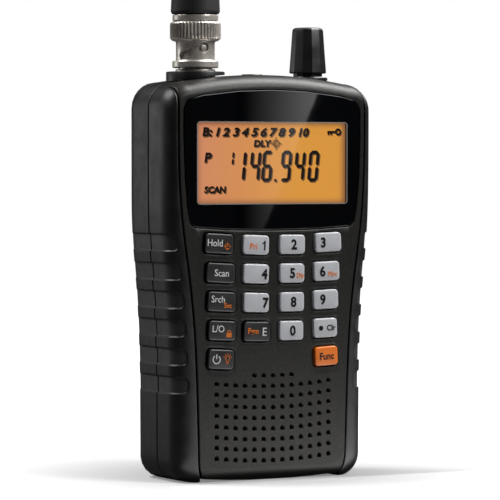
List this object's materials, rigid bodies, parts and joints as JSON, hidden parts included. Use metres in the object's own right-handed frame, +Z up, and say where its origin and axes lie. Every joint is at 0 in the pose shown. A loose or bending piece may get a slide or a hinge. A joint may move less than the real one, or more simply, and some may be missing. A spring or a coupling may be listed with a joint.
{
  "type": "handheld radio scanner",
  "caption": "Pocket radio scanner with lit display, keypad, speaker grille, bayonet-mounted whip antenna, double top control, belt clip and battery door.",
  "frame": {"origin": "middle of the flat base, half-way between the front face and the rear face", "axes": "+X to the viewer's right, front faces -Y, +Z up towards the antenna"},
  "size_m": [0.067, 0.0421, 0.2645],
  "materials": {
    "panel_paint": "satin metallic paint",
    "grip_black": "satin",
    "shell_black": "satin",
    "lens_black": "gloss, clear window in the middle",
    "inner_black": "matte",
    "display_amber": "lit from behind",
    "mat_rubber": "matte",
    "cloth": "woven",
    "board_green": "solder mask",
    "steel": "satin",
    "screw_steel": "blackened",
    "nickel": "nickel plated",
    "knob_black": "semi-gloss",
    "whip_rubber": "matte",
    "cell_wrap": "plastic sleeve",
    "key_grey": "satin silver",
    "key_black": "satin",
    "key_orange": "satin"
  },
  "bodies": {
    "case": {"front_cover": "panel_paint", "left_front_grip": "grip_black", "right_front_grip": "grip_black", "rear_cover": "shell_black", "top_plate": "shell_black", "display_lens": "lens_black", "lcd_frame": "inner_black", "lcd_glass": "display_amber", "lcd_backlight": "display_amber", "keypad_mat": "mat_rubber", "speaker_cloth": "cloth", "speaker": "inner_black", "main_board": "board_green", "shield_can": "steel", "control_body": "steel", "earphone_jack": "inner_black", "antenna_jack": "nickel", "usb_jack": "steel", "battery_cell_a": "cell_wrap", "battery_cell_b": "cell_wrap", "battery_contact_lower": "nickel", "battery_contact_left": "nickel", "battery_contact_right": "nickel", "clip_base": "shell_black", "clip_pin": "steel", "clip_spring": "steel", "clip_screw_left": "screw_steel", "clip_screw_right": "screw_steel", "case_screw_nw": "screw_steel", "case_screw_ne": "screw_steel", "case_screw_sw": "screw_steel", "case_screw_se": "screw_steel"},
    "key_hold_body": {"key_hold": "key_black"},
    "key_1_body": {"key_1": "key_grey"},
    "key_2_body": {"key_2": "key_grey"},
    "key_3_body": {"key_3": "key_grey"},
    "key_scan_body": {"key_scan": "key_black"},
    "key_4_body": {"key_4": "key_grey"},
    "key_5_body": {"key_5": "key_grey"},
    "key_6_body": {"key_6": "key_grey"},
    "key_srch_body": {"key_srch": "key_black"},
    "key_7_body": {"key_7": "key_grey"},
    "key_8_body": {"key_8": "key_grey"},
    "key_9_body": {"key_9": "key_grey"},
    "key_lo_body": {"key_lo": "key_black"},
    "key_pgm_body": {"key_pgm": "key_black"},
    "key_0_body": {"key_0": "key_grey"},
    "key_clear_body": {"key_clear": "key_grey"},
    "key_power_body": {"key_power": "key_black"},
    "key_func_body": {"key_func": "key_orange"},
    "volume": {"volume_knob": "knob_black", "volume_shaft": "steel"},
    "squelch": {"squelch_ring": "knob_black"},
    "antenna": {"plug_body": "nickel", "antenna_whip": "whip_rubber"},
    "sleeve": {"coupling_sleeve": "nickel"},
    "door": {"battery_door": "shell_black"},
    "cell_selector": {"battery_type_switch": "key_grey"},
    "clip": {"clip_lever": "shell_black"},
    "port_flap": {"port_cover": "mat_rubber"}
  },
  "joints": [
    {"name": "key_hold_press", "type": "slide", "parent": "case", "child": "key_hold_body", "axis": [0, 1, 0], "range_m": [0, 0.0006], "stiffness_N_per_m": 1500, "springref_m": -0.0004},
    {"name": "key_1_press", "type": "slide", "parent": "case", "child": "key_1_body", "axis": [0, 1, 0], "range_m": [0, 0.0006], "stiffness_N_per_m": 1500, "springref_m": -0.0004},
    {"name": "key_2_press", "type": "slide", "parent": "case", "child": "key_2_body", "axis": [0, 1, 0], "range_m": [0, 0.0006], "stiffness_N_per_m": 1500, "springref_m": -0.0004},
    {"name": "key_3_press", "type": "slide", "parent": "case", "child": "key_3_body", "axis": [0, 1, 0], "range_m": [0, 0.0006], "stiffness_N_per_m": 1500, "springref_m": -0.0004},
    {"name": "key_scan_press", "type": "slide", "parent": "case", "child": "key_scan_body", "axis": [0, 1, 0], "range_m": [0, 0.0006], "stiffness_N_per_m": 1500, "springref_m": -0.0004},
    {"name": "key_4_press", "type": "slide", "parent": "case", "child": "key_4_body", "axis": [0, 1, 0], "range_m": [0, 0.0006], "stiffness_N_per_m": 1500, "springref_m": -0.0004},
    {"name": "key_5_press", "type": "slide", "parent": "case", "child": "key_5_body", "axis": [0, 1, 0], "range_m": [0, 0.0006], "stiffness_N_per_m": 1500, "springref_m": -0.0004},
    {"name": "key_6_press", "type": "slide", "parent": "case", "child": "key_6_body", "axis": [0, 1, 0], "range_m": [0, 0.0006], "stiffness_N_per_m": 1500, "springref_m": -0.0004},
    {"name": "key_srch_press", "type": "slide", "parent": "case", "child": "key_srch_body", "axis": [0, 1, 0], "range_m": [0, 0.0006], "stiffness_N_per_m": 1500, "springref_m": -0.0004},
    {"name": "key_7_press", "type": "slide", "parent": "case", "child": "key_7_body", "axis": [0, 1, 0], "range_m": [0, 0.0006], "stiffness_N_per_m": 1500, "springref_m": -0.0004},
    {"name": "key_8_press", "type": "slide", "parent": "case", "child": "key_8_body", "axis": [0, 1, 0], "range_m": [0, 0.0006], "stiffness_N_per_m": 1500, "springref_m": -0.0004},
    {"name": "key_9_press", "type": "slide", "parent": "case", "child": "key_9_body", "axis": [0, 1, 0], "range_m": [0, 0.0006], "stiffness_N_per_m": 1500, "springref_m": -0.0004},
    {"name": "key_lo_press", "type": "slide", "parent": "case", "child": "key_lo_body", "axis": [0, 1, 0], "range_m": [0, 0.0006], "stiffness_N_per_m": 1500, "springref_m": -0.0004},
    {"name": "key_pgm_press", "type": "slide", "parent": "case", "child": "key_pgm_body", "axis": [0, 1, 0], "range_m": [0, 0.0006], "stiffness_N_per_m": 1500, "springref_m": -0.0004},
    {"name": "key_0_press", "type": "slide", "parent": "case", "child": "key_0_body", "axis": [0, 1, 0], "range_m": [0, 0.0006], "stiffness_N_per_m": 1500, "springref_m": -0.0004},
    {"name": "key_clear_press", "type": "slide", "parent": "case", "child": "key_clear_body", "axis": [0, 1, 0], "range_m": [0, 0.0006], "stiffness_N_per_m": 1500, "springref_m": -0.0004},
    {"name": "key_power_press", "type": "slide", "parent": "case", "child": "key_power_body", "axis": [0, 1, 0], "range_m": [0, 0.0006], "stiffness_N_per_m": 1500, "springref_m": -0.0004},
    {"name": "key_func_press", "type": "slide", "parent": "case", "child": "key_func_body", "axis": [0, 1, 0], "range_m": [0, 0.0006], "stiffness_N_per_m": 1500, "springref_m": -0.0004},
    {"name": "volume_turn", "type": "hinge", "parent": "case", "child": "volume", "pos_m": [0.02, -0.0005, 0.116], "axis": [0, 0, 1], "range_deg": [-150, 150]},
    {"name": "squelch_turn", "type": "hinge", "parent": "case", "child": "squelch", "pos_m": [0.02, -0.0005, 0.1145], "axis": [0, 0, 1], "range_deg": [-150, 150]},
    {"name": "antenna_lift", "type": "slide", "parent": "case", "child": "antenna", "axis": [0, 0, 1], "range_m": [0, 0.0022], "stiffness_N_per_m": 800, "springref_m": -0.002},
    {"name": "sleeve_turn", "type": "hinge", "parent": "antenna", "child": "sleeve", "pos_m": [-0.0169, -0.0005, 0.125], "axis": [0, 0, 1], "range_deg": [0, 71]},
    {"name": "door_slide", "type": "slide", "parent": "case", "child": "door", "axis": [0, 0, -1], "range_m": [0, 0.005]},
    {"name": "cell_selector_slide", "type": "slide", "parent": "case", "child": "cell_selector", "axis": [1, 0, 0], "range_m": [0, 0.003]},
    {"name": "clip_open", "type": "hinge", "parent": "case", "child": "clip", "pos_m": [0, 0.0216, 0.092], "axis": [1, 0, 0], "range_deg": [0, 18], "stiffness_Nm_per_rad": 0.15, "springref_deg": -20.05},
    {"name": "port_flap_open", "type": "hinge", "parent": "case", "child": "port_flap", "pos_m": [0.033, 0.0081, 0.092], "axis": [0, 0, 1], "range_deg": [0, 90], "stiffness_Nm_per_rad": 0.0008, "springref_deg": -5.73}
  ],
  "couplings": [
    {"joint": "sleeve_turn", "follows": "antenna_lift", "rad_per_m": 555.33}
  ]
}
